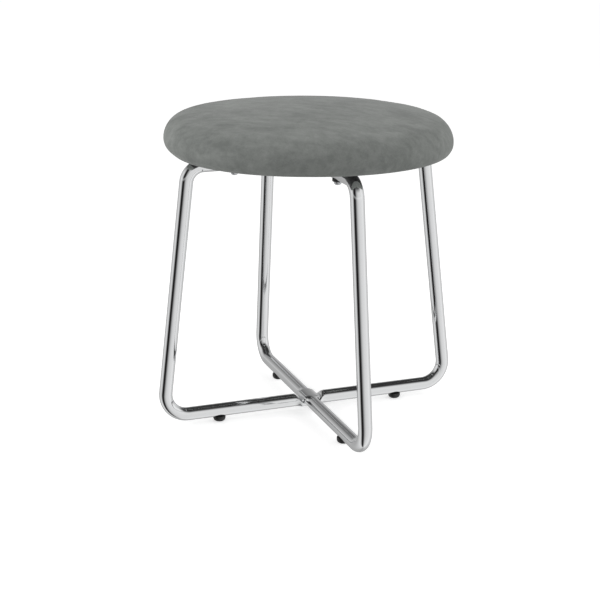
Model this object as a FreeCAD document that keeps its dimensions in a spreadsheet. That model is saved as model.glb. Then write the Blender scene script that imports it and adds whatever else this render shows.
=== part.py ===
# Vanity stool: a round padded seat on two closed loops of bent chrome tube, which cross
# at right angles under the seat and again just above the floor.
# Frame: origin on the floor under the middle of the seat, +Z up, front towards -Y.
# The loops stand on the two diagonals, so each piece is drawn with a loop's bar along
# its own X axis and is then turned about Z.

import FreeCAD, Part
import math
import os
import re
import Sketcher

Vector = FreeCAD.Vector
Rotation = FreeCAD.Rotation
Placement = FreeCAD.Placement

# Driving sizes, in millimetres and degrees.
SIZES = {
    # overall
    "seat_diameter": 400.0,
    "cushion_height": 70.9,
    "frame_height": 385.6,
    "loop_turn": 45.0,
    # frame loops
    "tube_diameter": 19.05,
    "tube_wall": 1.2,
    "foot_reach": 221.0,
    "leg_splay": 7.05,
    "foot_bend_radius": 32.5,
    "seat_bend_radius": 25.0,
    # pressed crossings
    "press_spread": 2.7,
    "press_ramp": 18.0,
    "press_clearance": 0.8,
    "weld_radius": 1.7,
    "weld_end_margin": 3.0,
    # cushion
    "cover_thickness": 1.2,
    "rim_radius": 34.0,
    "edge_radius": 12.0,
    "waist_height": 22.0,
    "hem_width": 30.0,
    # seat board and dust cover
    "board_thickness": 12.0,
    "board_margin": 1.0,
    "board_edge_chamfer": 1.0,
    "dust_cover_thickness": 0.5,
    "dust_cover_margin": 10.0,
    # staples
    "staple_crown": 10.0,
    "staple_wire": 0.6,
    "staple_leg": 6.0,
    "staple_edge_distance": 6.0,
    # seat bolts and their washers and nuts
    "bolt_reach": 110.0,
    "bolt_diameter": 6.0,
    "bolt_hole_diameter": 6.6,
    "bolt_tip_margin": 1.35,
    "bolt_tip_chamfer": 0.6,
    "head_diameter": 10.5,
    "head_height": 3.3,
    "head_rim": 0.7,
    "head_flat_diameter": 6.4,
    "socket_width": 4.0,
    "socket_depth": 1.9,
    "lock_washer_diameter": 11.0,
    "lock_washer_thickness": 1.5,
    "lock_washer_slit": 1.2,
    "saddle_washer_diameter": 15.0,
    "saddle_washer_seat": 1.6,
    "saddle_washer_wing": 2.0,
    "nut_flange_diameter": 19.0,
    "nut_flange_thickness": 1.2,
    "nut_barrel_diameter": 7.8,
    "nut_barrel_length": 9.0,
    "nut_thread_clearance": 0.05,
    "prong_width": 2.4,
    "prong_thickness": 0.9,
    "prong_length": 6.5,
    "prong_reach": 7.6,
    # glides
    "glide_reach": 138.0,
    "glide_height": 6.5,
    "glide_diameter": 18.0,
    "glide_foot_diameter": 12.0,
    "glide_shoulder": 1.0,
    "glide_shoulder_height": 1.5,
    "glide_side_height": 4.2,
    "glide_lip": 1.1,
    "glide_stem_diameter": 6.0,
    "glide_hole_diameter": 6.3,
    "glide_barb_diameter": 7.2,
    "glide_barb_length": 3.0,
    "glide_tip_diameter": 4.4,
    # small gap that is left where two pieces meet
    "contact_gap": 0.1,
}

COVER_STAPLES = 16
DUST_COVER_STAPLES = 12
BOLTS = 4
PRONGS = 4
SOCKET_SIDES = 6
SECTION_POINTS = 16
RAMP_STATION_COUNT = 4
CROWN_CHORD_COUNT = 2
RIM_CHORD_COUNT = 3
EDGE_CHORD_COUNT = 2
CROWN_FLATTENING = 0.5
PRESS_FLATTENING = 3.0
SEAM_TOLERANCE = 0.01
SAME_PLACE = 1e-6

# Heights and radii that follow from the driving sizes.
TUBE_RADIUS = "(tube_diameter / 2)"
LOW_BAR = "(glide_height + tube_diameter / 2)"
HIGH_BAR = "(frame_height - tube_diameter / 2)"
SEAT_RADIUS = "(seat_diameter / 2)"
DUST_BOTTOM = "(frame_height + contact_gap)"
HEM_BOTTOM = "(%s + dust_cover_thickness + contact_gap)" % DUST_BOTTOM
BOARD_BOTTOM = "(%s + cover_thickness + contact_gap)" % HEM_BOTTOM
BOARD_TOP = "(%s + board_thickness)" % BOARD_BOTTOM
BOARD_RADIUS = "(%s - edge_radius - board_margin)" % SEAT_RADIUS
HEM_RADIUS = "(%s - hem_width)" % BOARD_RADIUS
DUST_RADIUS = "(%s - dust_cover_margin)" % BOARD_RADIUS
COVER_STAPLE_RADIUS = "(%s + staple_edge_distance)" % HEM_RADIUS
DUST_STAPLE_RADIUS = "(%s - staple_edge_distance)" % DUST_RADIUS
SADDLE_BOTTOM = "(%s - %s - contact_gap - saddle_washer_seat)" % (HIGH_BAR, TUBE_RADIUS)
WASHER_BOTTOM = "(%s - contact_gap - lock_washer_thickness)" % SADDLE_BOTTOM
HEAD_TOP = "(%s - contact_gap)" % WASHER_BOTTOM
HEAD_BOTTOM = "(%s - head_height)" % HEAD_TOP
NUT_TOP = "(%s - contact_gap)" % BOARD_TOP
NUT_FLANGE_BOTTOM = "(%s - nut_flange_thickness)" % NUT_TOP
PRESSED_HALF_WIDTH = "(%s + press_spread)" % TUBE_RADIUS
FLAT_HALF_LENGTH = "(%s + press_clearance)" % PRESSED_HALF_WIDTH
ROUND_START = "(%s + press_ramp)" % FLAT_HALF_LENGTH
STOOL_HEIGHT = "(%s + cushion_height)" % HEM_BOTTOM
WAIST = "(%s + waist_height)" % HEM_BOTTOM
RISE = "(cushion_height - waist_height)"
RIM_REACH = "(%s - rim_radius)" % SEAT_RADIUS
CROWN_RADIUS = "((%s^2 + %s^2 - rim_radius^2) / (2 * (%s - rim_radius)))" % (
    RIM_REACH, RISE, RISE)
RIM_LEAN = "(atan2(%s - %s; %s) / 1 deg)" % (CROWN_RADIUS, RISE, RIM_REACH)

document = FreeCAD.newDocument("vanity_stool")
sheet = document.addObject("Spreadsheet::Sheet", "Sizes")
for row, (alias, number) in enumerate(SIZES.items(), start=1):
    sheet.set("A%d" % row, alias)
    sheet.set("B%d" % row, str(number))
    sheet.setAlias("B%d" % row, alias)
document.recompute()


def named(text):
    """The expression with the sheet's name in front of every size in it."""
    def with_sheet(match):
        word = match.group(0)
        return "Sizes." + word if word in SIZES else word
    return re.sub(r"[a-z_]+", with_sheet, text)


def size(text):
    """The number that an expression gives now."""
    result = sheet.evalExpression(named(text))
    return float(getattr(result, "Value", result))


def place_of(corner):
    return [size(text) for text in corner]


class Drawing:
    """A sketch whose points and radii follow expressions on the sheet."""

    def __init__(self, body, name, plane, lift="0", across="0", turn=0.0):
        self.sketch = body.newObject("Sketcher::SketchObject", name)
        for feature in body.Origin.OriginFeatures:
            if feature.Role == plane + "_Plane":
                self.sketch.AttachmentSupport = (feature, [""])
        self.sketch.MapMode = "FlatFace"
        self.sketch.AttachmentOffset = Placement(Vector(), Rotation(Vector(0, 0, 1), turn))
        self.sketch.setExpression("AttachmentOffset.Base.x", named(across))
        self.sketch.setExpression("AttachmentOffset.Base.z", named(lift))

    def relate(self, kind, *references):
        self.sketch.addConstraint(Sketcher.Constraint(kind, *references))

    def bind(self, kind, *references_and_expression):
        *references, expression = references_and_expression
        index = self.sketch.addConstraint(
            Sketcher.Constraint(kind, *references, size(expression)))
        self.sketch.setExpression("Constraints[%d]" % index, named(expression))

    def place(self, piece, end, x, y):
        """Fix an end (1 start, 2 end, 3 centre) of a piece of geometry at (x, y)."""
        if size(x):
            self.bind("DistanceX", -1, 1, piece, end, x)
        else:
            self.relate("PointOnObject", piece, end, -2)
        if size(y):
            self.bind("DistanceY", -1, 1, piece, end, y)
        else:
            self.relate("PointOnObject", piece, end, -1)

    def line(self, start, end):
        points = [Vector(size(x), size(y), 0) for x, y in (start, end)]
        return self.sketch.addGeometry(Part.LineSegment(*points))

    def arc(self, centre, radius, start_angle, end_angle):
        """An arc from numbers, which constraints then hold; angles in radians."""
        circle = Part.Circle(Vector(centre[0], centre[1], 0), Vector(0, 0, 1), radius)
        return self.sketch.addGeometry(Part.ArcOfCircle(circle, start_angle, end_angle))

    def circle(self, x, y, radius):
        piece = self.sketch.addGeometry(
            Part.Circle(Vector(size(x), size(y), 0), Vector(0, 0, 1), size(radius)))
        self.place(piece, 3, x, y)
        self.bind("Radius", piece, radius)

    def polygon(self, corners):
        """A closed outline through corners that are each a pair of expressions."""
        pieces = []
        for start, end in zip(corners, corners[1:] + corners[:1]):
            pieces.append(self.line(start, end))
        for before, after in zip(pieces, pieces[1:] + pieces[:1]):
            self.relate("Coincident", before, 2, after, 1)
        for piece, (x, y) in zip(pieces, corners):
            self.place(piece, 1, x, y)

    def chain(self, corners):
        """An open row of lines through corners; returns its first and last line."""
        lines = [self.line(start, end) for start, end in zip(corners, corners[1:])]
        for before, after in zip(lines, lines[1:]):
            self.relate("Coincident", before, 2, after, 1)
        for piece, (x, y) in zip(lines, corners):
            self.place(piece, 1, x, y)
        return lines[0], lines[-1]

    def rectangle(self, x, y, width, depth):
        """A rectangle centred at (x, y)."""
        corners = []
        for along, over in ((-1, -1), (1, -1), (1, 1), (-1, 1)):
            corners.append(("%s + %d * (%s) / 2" % (x, along, width),
                            "%s + %d * (%s) / 2" % (y, over, depth)))
        self.polygon(corners)


def body(name):
    return document.addObject("PartDesign::Body", name)


def revolve(owner, drawing, name):
    """A full turn of the drawing about its own vertical axis."""
    feature = owner.newObject("PartDesign::Revolution", name)
    feature.Profile = drawing.sketch
    feature.ReferenceAxis = (drawing.sketch, ["V_Axis"])
    feature.Angle = 360.0
    return feature


def extrude(owner, drawing, kind, name, length, symmetric=False, reverse=False):
    feature = owner.newObject("PartDesign::" + kind, name)
    feature.Profile = drawing.sketch
    feature.setExpression("Length", named(length))
    feature.Midplane = symmetric
    feature.Reversed = reverse
    return feature


def around(owner, features, name, count):
    """Repeat features about the owner's Z axis."""
    pattern = owner.newObject("PartDesign::PolarPattern", name)
    pattern.Originals = features
    for feature in owner.Origin.OriginFeatures:
        if feature.Role == "Z_Axis":
            pattern.Axis = (feature, [""])
    pattern.Angle = 360.0
    pattern.Occurrences = count
    owner.Tip = pattern
    return pattern


def turned(degrees, reach=0.0):
    """A place at the given reach from the stool's axis, on the given diagonal."""
    turn = Placement(Vector(0, 0, 0), Rotation(Vector(0, 0, 1), degrees))
    return turn.multiply(Placement(Vector(reach, 0, 0), Rotation()))


LOOP_TURN = size("loop_turn")
finished = []


def finish(piece, placement):
    piece.Placement = placement
    finished.append(piece)


# Cushion outline: crown arc, rim arc, side line and bottom edge arc, all tangent.
def cushion_side(drawing):
    """The cushion's outer side; returns its crown arc and its bottom edge arc."""
    crown_radius, rim = size(CROWN_RADIUS), size("rim_radius")
    lean = math.radians(size(RIM_LEAN))
    crown = drawing.arc((0, size(STOOL_HEIGHT) - crown_radius), crown_radius, lean,
                        math.pi / 2)
    rim_arc = drawing.arc((size(RIM_REACH), size(WAIST)), rim, 0, lean)
    edge_centre = (SEAT_RADIUS + " - edge_radius", HEM_BOTTOM + " + edge_radius")
    side = drawing.line((SEAT_RADIUS, edge_centre[1]), (SEAT_RADIUS, WAIST))
    edge = drawing.arc([size(text) for text in edge_centre], size("edge_radius"),
                       -math.pi / 2, 0)
    drawing.place(rim_arc, 3, RIM_REACH, WAIST)
    drawing.bind("Radius", rim_arc, "rim_radius")
    drawing.place(edge, 3, *edge_centre)
    drawing.bind("Radius", edge, "edge_radius")
    drawing.relate("Tangent", edge, 2, side, 1)
    drawing.relate("Tangent", side, 2, rim_arc, 1)
    drawing.relate("Tangent", rim_arc, 2, crown, 1)
    drawing.relate("PointOnObject", crown, 3, -2)
    drawing.place(crown, 2, "0", STOOL_HEIGHT)
    return crown, edge


def lining(inset):
    """Corners inside the cushion's side, from its top to its bottom, on straight chords."""
    crown_centre = "(%s - %s)" % (STOOL_HEIGHT, CROWN_RADIUS)
    edge_centre = "(%s + edge_radius)" % HEM_BOTTOM
    arcs = [("0", crown_centre, CROWN_RADIUS, "90", RIM_LEAN, CROWN_CHORD_COUNT),
            (RIM_REACH, WAIST, "rim_radius", RIM_LEAN, "0", RIM_CHORD_COUNT),
            (SEAT_RADIUS + " - edge_radius", edge_centre, "edge_radius", "0", "-90",
             EDGE_CHORD_COUNT)]
    corners = []
    for x, z, radius, start, end, chords in arcs:
        for step in range(chords + 1):
            angle = "(%s + (%s - %s) * %d / %d)" % (start, end, start, step, chords)
            reach = "(%s - %s)" % (radius, inset)
            corner = ("%s + %s * cos(%s)" % (x, reach, angle),
                      "%s + %s * sin(%s)" % (z, reach, angle))
            if not corners or math.dist(place_of(corner), place_of(corners[-1])) > SAME_PLACE:
                corners.append(corner)
    corners[0] = ("0", "%s - %s" % (STOOL_HEIGHT, inset))
    return corners


def half_step(count):
    """Turn of a row of staples, in degrees, which puts none of them over a tube."""
    return 180 / count


def staple_legs(drawing, radius, clearance):
    """The holes that one staple's two legs need."""
    for side in (-1, 1):
        drawing.rectangle(radius, "%d * (staple_crown - staple_wire) / 2" % side,
                          "staple_wire + " + clearance, "staple_wire + " + clearance)


# Cover: one skin of cloth, turned under the board and stapled there.
def seat_cover():
    cover = body("seat_cover")
    drawing = Drawing(cover, "cover_outline", "XZ")
    crown, edge = cushion_side(drawing)
    inside = lining("cover_thickness")
    corners = [("0", STOOL_HEIGHT)] + inside
    corners += [(HEM_RADIUS, HEM_BOTTOM + " + cover_thickness"), (HEM_RADIUS, HEM_BOTTOM),
                (SEAT_RADIUS + " - edge_radius", HEM_BOTTOM)]
    first, last = drawing.chain(corners[1:])
    top = drawing.line(corners[0], corners[1])
    drawing.relate("Coincident", top, 1, crown, 2)
    drawing.relate("Coincident", top, 2, first, 1)
    drawing.relate("Tangent", last, 2, edge, 1)
    revolve(cover, drawing, "cover_skin")

    crowns = Drawing(cover, "crown_dents", "XY", HEM_BOTTOM, turn=half_step(COVER_STAPLES))
    crowns.rectangle(COVER_STAPLE_RADIUS, "0", "staple_wire + contact_gap",
                     "staple_crown + contact_gap")
    dent = extrude(cover, crowns, "Pocket", "crown_dent", "2 * staple_wire", symmetric=True)
    legs = Drawing(cover, "cover_leg_holes", "XY", HEM_BOTTOM, turn=half_step(COVER_STAPLES))
    staple_legs(legs, COVER_STAPLE_RADIUS, "contact_gap")
    pierced = extrude(cover, legs, "Pocket", "cover_leg_hole", "3 * cover_thickness",
                      symmetric=True)
    around(cover, [dent, pierced], "cover_staple_row", COVER_STAPLES)
    dust_legs = Drawing(cover, "dust_leg_holes", "XY", HEM_BOTTOM,
                        turn=half_step(DUST_COVER_STAPLES))
    staple_legs(dust_legs, DUST_STAPLE_RADIUS, "contact_gap")
    dust_pierced = extrude(cover, dust_legs, "Pocket", "dust_leg_hole", "3 * cover_thickness",
                           symmetric=True)
    around(cover, [dust_pierced], "dust_staple_row", DUST_COVER_STAPLES)
    finish(cover, turned(LOOP_TURN))


# Foam: fills the cover, lies on the board and wraps round its edge.
def cushion_foam():
    foam = body("cushion_foam")
    drawing = Drawing(foam, "foam_outline", "XZ")
    floor = BOARD_TOP + " + contact_gap"
    inside = BOARD_RADIUS + " + contact_gap"
    drawing.polygon(lining("(cover_thickness + contact_gap)")
                    + [(inside, BOARD_BOTTOM), (inside, floor), ("0", floor)])
    revolve(foam, drawing, "foam_pad")
    finish(foam, turned(LOOP_TURN))


# Prong places of one nut, about the nut's own middle.
def prongs(drawing, clearance):
    for step in range(PRONGS):
        upright = step % 2
        x = "bolt_reach + prong_reach * %d" % round(math.cos(step * math.pi / 2))
        y = "prong_reach * %d" % round(math.sin(step * math.pi / 2))
        sides = ["prong_thickness + " + clearance, "prong_width + " + clearance]
        drawing.rectangle(x, y, sides[upright], sides[1 - upright])


# Board: the plywood disc that takes the nuts and every staple.
def seat_board():
    board = body("seat_board")
    disc = Drawing(board, "disc_outline", "XY", BOARD_BOTTOM)
    disc.circle("0", "0", BOARD_RADIUS)
    pad = extrude(board, disc, "Pad", "disc", "board_thickness")
    document.recompute()
    rims = []
    for number, edge in enumerate(pad.Shape.Edges, start=1):
        if isinstance(edge.Curve, Part.Circle):
            rims.append("Edge%d" % number)
    eased = board.newObject("PartDesign::Chamfer", "eased_edges")
    eased.Base = (pad, rims)
    eased.setExpression("Size", named("board_edge_chamfer"))
    document.recompute()

    barrels = Drawing(board, "barrel_holes", "XY", BOARD_TOP)
    barrels.circle("bolt_reach", "0", "nut_barrel_diameter / 2 + contact_gap")
    barrel = extrude(board, barrels, "Pocket", "barrel_hole", "3 * board_thickness",
                     symmetric=True)
    flanges = Drawing(board, "flange_recesses", "XY", BOARD_TOP)
    flanges.circle("bolt_reach", "0", "nut_flange_diameter / 2 + contact_gap")
    flange = extrude(board, flanges, "Pocket", "flange_recess",
                     "2 * (nut_flange_thickness + 2 * contact_gap)", symmetric=True)
    slots = Drawing(board, "prong_slots", "XY", BOARD_TOP)
    prongs(slots, "contact_gap")
    slot = extrude(board, slots, "Pocket", "prong_slot",
                   "2 * (nut_flange_thickness + prong_length + 2 * contact_gap)", symmetric=True)
    around(board, [barrel, flange, slot], "nut_places", BOLTS)

    depth = "2 * (staple_leg + contact_gap)"
    for radius, count, name in ((COVER_STAPLE_RADIUS, COVER_STAPLES, "cover"),
                                (DUST_STAPLE_RADIUS, DUST_COVER_STAPLES, "dust")):
        holes = Drawing(board, name + "_staple_holes", "XY", BOARD_BOTTOM,
                        turn=half_step(count))
        staple_legs(holes, radius, "contact_gap")
        hole = extrude(board, holes, "Pocket", name + "_staple_hole", depth, symmetric=True)
        around(board, [hole], name + "_staple_places", count)
    finish(board, turned(LOOP_TURN))


# Dust cover: thin black cloth across the underside, over the cover's hem.
def dust_cover():
    cloth = body("dust_cover")
    disc = Drawing(cloth, "cloth_outline", "XY", DUST_BOTTOM)
    disc.circle("0", "0", DUST_RADIUS)
    extrude(cloth, disc, "Pad", "cloth", "dust_cover_thickness")
    bolts = Drawing(cloth, "bolt_holes", "XY", DUST_BOTTOM)
    bolts.circle("bolt_reach", "0", "bolt_hole_diameter / 2")
    bolt = extrude(cloth, bolts, "Pocket", "bolt_hole", "4 * dust_cover_thickness",
                   symmetric=True)
    around(cloth, [bolt], "bolt_places", BOLTS)
    legs = Drawing(cloth, "leg_holes", "XY", DUST_BOTTOM,
                   turn=half_step(DUST_COVER_STAPLES))
    staple_legs(legs, DUST_STAPLE_RADIUS, "contact_gap")
    leg = extrude(cloth, legs, "Pocket", "leg_hole", "4 * dust_cover_thickness",
                  symmetric=True)
    around(cloth, [leg], "staple_places", DUST_COVER_STAPLES)
    finish(cloth, turned(LOOP_TURN))


# Staples: flat-crowned wire, driven up into the board from below.
def staples(name, radius, crown_bottom, leg_top, count):
    group = body(name)
    shape = Drawing(group, "staple_outline", "YZ", radius)
    half = "staple_crown / 2"
    inside = "(staple_crown / 2 - staple_wire)"
    under_crown = crown_bottom + " + staple_wire"
    shape.polygon([("-" + half, crown_bottom), (half, crown_bottom), (half, leg_top),
                   (inside, leg_top), (inside, under_crown), ("-" + inside, under_crown),
                   ("-" + inside, leg_top), ("-" + half, leg_top)])
    one = extrude(group, shape, "Pad", "staple", "staple_wire", symmetric=True)
    around(group, [one], "row", count)
    finish(group, turned(LOOP_TURN + half_step(count)))


# Nuts: flanged barrels with four prongs, knocked into the board from above.
def tee_nuts():
    nuts = body("tee_nuts")
    shape = Drawing(nuts, "nut_outline", "XZ", "0", "bolt_reach")
    bore = "bolt_diameter / 2 + nut_thread_clearance"
    barrel_end = NUT_TOP + " - nut_barrel_length"
    shape.polygon([(bore, NUT_TOP), ("nut_flange_diameter / 2", NUT_TOP),
                   ("nut_flange_diameter / 2", NUT_FLANGE_BOTTOM),
                   ("nut_barrel_diameter / 2", NUT_FLANGE_BOTTOM),
                   ("nut_barrel_diameter / 2", barrel_end), (bore, barrel_end)])
    barrel = revolve(nuts, shape, "nut")
    points = Drawing(nuts, "prong_outlines", "XY", NUT_FLANGE_BOTTOM)
    prongs(points, "0")
    teeth = extrude(nuts, points, "Pad", "prongs", "prong_length", reverse=True)
    around(nuts, [barrel, teeth], "nuts", BOLTS)
    finish(nuts, turned(LOOP_TURN))


# Bolts: button heads with a hexagon socket, up through the tube into the nuts.
def seat_bolts():
    bolts = body("seat_bolts")
    shape = Drawing(bolts, "bolt_outline", "XZ", "0", "bolt_reach")
    shank = "bolt_diameter / 2"
    tip = BOARD_TOP + " - bolt_tip_margin"
    head_edge = HEAD_TOP + " - head_rim"
    corners = [("head_diameter / 2", head_edge), ("head_diameter / 2", HEAD_TOP),
               (shank, HEAD_TOP), (shank, tip + " - bolt_tip_chamfer"),
               (shank + " - bolt_tip_chamfer", tip), ("0", tip), ("0", HEAD_BOTTOM),
               ("head_flat_diameter / 2", HEAD_BOTTOM)]
    first, last = shape.chain(corners)
    shape.place(last, 2, *corners[-1])
    inner, outer = size("head_flat_diameter / 2"), size("head_diameter / 2")
    low, high = size(HEAD_BOTTOM), size(head_edge)
    centre = (outer ** 2 - inner ** 2 + high ** 2 - low ** 2) / (2 * (high - low))
    dome = shape.arc((0, centre), math.hypot(inner, low - centre),
                     math.atan2(low - centre, inner), math.atan2(high - centre, outer))
    shape.relate("Coincident", dome, 1, last, 2)
    shape.relate("Coincident", dome, 2, first, 1)
    shape.relate("PointOnObject", dome, 3, -2)
    bolt = revolve(bolts, shape, "bolt")
    socket = Drawing(bolts, "socket_outline", "XY", HEAD_BOTTOM)
    corner = "socket_width / 2 / cos(180 / %d)" % SOCKET_SIDES
    step = 360 / SOCKET_SIDES
    socket.polygon([("bolt_reach + %s * cos(%g)" % (corner, step * (index + 0.5)),
                     "%s * sin(%g)" % (corner, step * (index + 0.5)))
                    for index in range(SOCKET_SIDES)])
    key = extrude(bolts, socket, "Pocket", "socket", "2 * socket_depth", symmetric=True)
    around(bolts, [bolt, key], "bolts", BOLTS)
    finish(bolts, turned(LOOP_TURN))


# Lock washers: split rings between the heads and the saddle washers.
def lock_washers():
    washers = body("lock_washers")
    ring = Drawing(washers, "ring_outline", "XY", WASHER_BOTTOM)
    ring.circle("bolt_reach", "0", "lock_washer_diameter / 2")
    ring.circle("bolt_reach", "0", "bolt_hole_diameter / 2")
    washer = extrude(washers, ring, "Pad", "ring", "lock_washer_thickness")
    slit = Drawing(washers, "slit_outline", "XY", WASHER_BOTTOM)
    slit.rectangle("bolt_reach + lock_washer_diameter / 2", "0", "lock_washer_diameter",
                   "lock_washer_slit")
    gap = extrude(washers, slit, "Pocket", "slit", "4 * lock_washer_thickness", symmetric=True)
    around(washers, [washer, gap], "washers", BOLTS)
    finish(washers, turned(LOOP_TURN))


# Saddle washers: flat below, hollowed above to the round of the tube.
def saddle_washers():
    washers = body("saddle_washers")
    ring = Drawing(washers, "saddle_outline", "XY", SADDLE_BOTTOM)
    ring.circle("bolt_reach", "0", "saddle_washer_diameter / 2")
    ring.circle("bolt_reach", "0", "bolt_hole_diameter / 2")
    washer = extrude(washers, ring, "Pad", "saddle", "saddle_washer_seat + saddle_washer_wing")
    hollow = Drawing(washers, "hollow_outline", "YZ", "bolt_reach")
    hollow.circle("0", HIGH_BAR, TUBE_RADIUS + " + contact_gap")
    groove = extrude(washers, hollow, "Pocket", "hollow", "2 * saddle_washer_diameter",
                     symmetric=True)
    around(washers, [washer, groove], "washers", BOLTS)
    finish(washers, turned(LOOP_TURN))


# Glides: moulded domes that hug the tube and snap into it by a barbed stem.
def glide(name, degrees):
    foot = body(name)
    shape = Drawing(foot, "dome_outline", "XZ")
    rim = "glide_diameter / 2"
    lip = "glide_height + glide_lip"
    shape.polygon([("0", "0"), ("glide_foot_diameter / 2", "0"),
                   (rim + " - glide_shoulder", "glide_shoulder_height"),
                   (rim, "glide_side_height"), (rim, lip), ("0", lip)])
    revolve(foot, shape, "dome")
    saddle = Drawing(foot, "saddle_outline", "YZ")
    saddle.circle("0", LOW_BAR, TUBE_RADIUS + " + contact_gap")
    extrude(foot, saddle, "Pocket", "saddle", "2 * glide_diameter", symmetric=True)
    stem = Drawing(foot, "stem_outline", "XZ")
    start = "glide_height - glide_side_height / 2"
    barb = "%s - sqrt((%s - tube_wall)^2 - (glide_barb_diameter / 2)^2) + contact_gap" % (
        LOW_BAR, TUBE_RADIUS)
    tip = "%s + glide_barb_length" % barb
    stem.polygon([("0", start), ("glide_stem_diameter / 2", start),
                  ("glide_stem_diameter / 2", barb), ("glide_barb_diameter / 2", barb),
                  ("glide_tip_diameter / 2", tip), ("0", tip)])
    revolve(foot, stem, "stem")
    finish(foot, turned(degrees, size("glide_reach")))


# Loop path: the tube's centre line from one crossing, round a leg, to the other.
def loop_path():
    """Half of a loop's centre line, in its own XZ plane, as a sketch and as a wire."""
    owner = body("loop_path")
    path = Drawing(owner, "half_loop", "XZ")
    foot, seat = size("foot_bend_radius"), size("seat_bend_radius")
    low, high = size(LOW_BAR), size(HIGH_BAR)
    splay = math.radians(size("leg_splay"))
    reach = size("foot_reach")
    head_reach = reach - (high - low) * math.tan(splay)
    foot_tangent = foot * math.tan((math.pi / 2 + splay) / 2)
    seat_tangent = seat * math.tan((math.pi / 2 - splay) / 2)
    up = Vector(-math.sin(splay), math.cos(splay), 0)
    leg_start = Vector(reach, low, 0) + up * foot_tangent
    leg_end = Vector(head_reach, high, 0) - up * seat_tangent
    start = size(ROUND_START)

    def number(value):
        return "%.9f" % value

    low_bar = path.line((ROUND_START, LOW_BAR), (number(reach - foot_tangent), LOW_BAR))
    foot_bend = path.arc((reach - foot_tangent, low + foot), foot, -math.pi / 2, splay)
    leg = path.line((number(leg_start.x), number(leg_start.y)),
                    (number(leg_end.x), number(leg_end.y)))
    seat_bend = path.arc((head_reach - seat_tangent, high - seat), seat, splay, math.pi / 2)
    high_bar = path.line((number(head_reach - seat_tangent), HIGH_BAR), (ROUND_START, HIGH_BAR))
    path.relate("Tangent", low_bar, 2, foot_bend, 1)
    path.relate("Tangent", foot_bend, 2, leg, 1)
    path.relate("Tangent", leg, 2, seat_bend, 1)
    path.relate("Tangent", seat_bend, 2, high_bar, 1)
    path.relate("Horizontal", low_bar)
    path.relate("Horizontal", high_bar)
    path.place(low_bar, 1, ROUND_START, LOW_BAR)
    path.place(high_bar, 2, ROUND_START, HIGH_BAR)
    path.bind("Radius", foot_bend, "foot_bend_radius")
    path.bind("Radius", seat_bend, "seat_bend_radius")
    path.bind("Angle", -1, 1, leg, 1, "90 + leg_splay")
    corner = path.sketch.addGeometry(Part.Point(Vector(reach, low, 0)), True)
    path.place(corner, 1, "foot_reach", LOW_BAR)
    path.relate("PointOnObject", corner, 1, leg)
    return owner, path.sketch


# Tube section where it is pressed: share runs from 0, round, to 1, pressed flat.
def section(radius, share, station, height, up):
    """A section across X: its far side keeps the tube's round and its near side is flat."""
    half_width = radius + share * size("press_spread")
    rise = share * (size(TUBE_RADIUS) + size("contact_gap") / 2)
    middle = rise / 2
    upper = 2 + share * CROWN_FLATTENING
    lower = 2 + share * PRESS_FLATTENING
    points = []
    for index in range(SECTION_POINTS):
        angle = 2 * math.pi * index / SECTION_POINTS
        across, along = math.cos(angle), math.sin(angle)
        power = 2 / (upper if along >= 0 else lower)
        depth = radius - middle if along >= 0 else middle + radius - rise
        y = half_width * math.copysign(abs(across) ** power, across)
        z = middle + depth * math.copysign(abs(along) ** power, along)
        points.append(Vector(station, y, height + up * z))
    curve = Part.BSplineCurve()
    curve.interpolate(points, PeriodicFlag=True)
    return Part.Wire(curve.toShape())


def crossing(radius, height, up):
    """One pressed stretch, from round tube to round tube, as three solids."""
    flat = size(FLAT_HALF_LENGTH)
    ramp = size("press_ramp")
    stations = []
    for index in range(RAMP_STATION_COUNT + 1):
        share = 1 - index / RAMP_STATION_COUNT
        smooth = share * share * (3 - 2 * share)
        stations.append((smooth, flat + ramp * index / RAMP_STATION_COUNT))
    stretches = [Part.makeLoft([section(radius, 1, -flat, height, up),
                                section(radius, 1, flat, height, up)], True, True)]
    for side in (-1, 1):
        rings = [section(radius, share, side * place, height, up) for share, place in stations]
        stretches.append(Part.makeLoft(rings, True, False))
    return stretches


def rod(radius, path, low_up, high_up):
    """A whole loop of the given radius, without a bore."""
    x, z = size(ROUND_START), size(LOW_BAR)
    ring = Part.Circle(Vector(x, radius, z), Vector(x, 0, z + radius), Vector(x, -radius, z))
    half = path.makePipe(Part.Face(Part.Wire(ring.toShape())))
    others = [half.mirror(Vector(0, 0, 0), Vector(1, 0, 0))]
    others += crossing(radius, size(LOW_BAR), low_up)
    others += crossing(radius, size(HIGH_BAR), high_up)
    return half.fuse(others, SEAM_TOLERANCE)


def cylinder(name, radius, length, x, z):
    """An upright cylinder, drawn in the loop's own frame."""
    tool = document.addObject("Part::Cylinder", name)
    tool.setExpression("Radius", named(radius))
    tool.setExpression("Height", named(length))
    tool.setExpression("Placement.Base.x", named(x))
    tool.setExpression("Placement.Base.z", named(z))
    return tool


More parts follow.
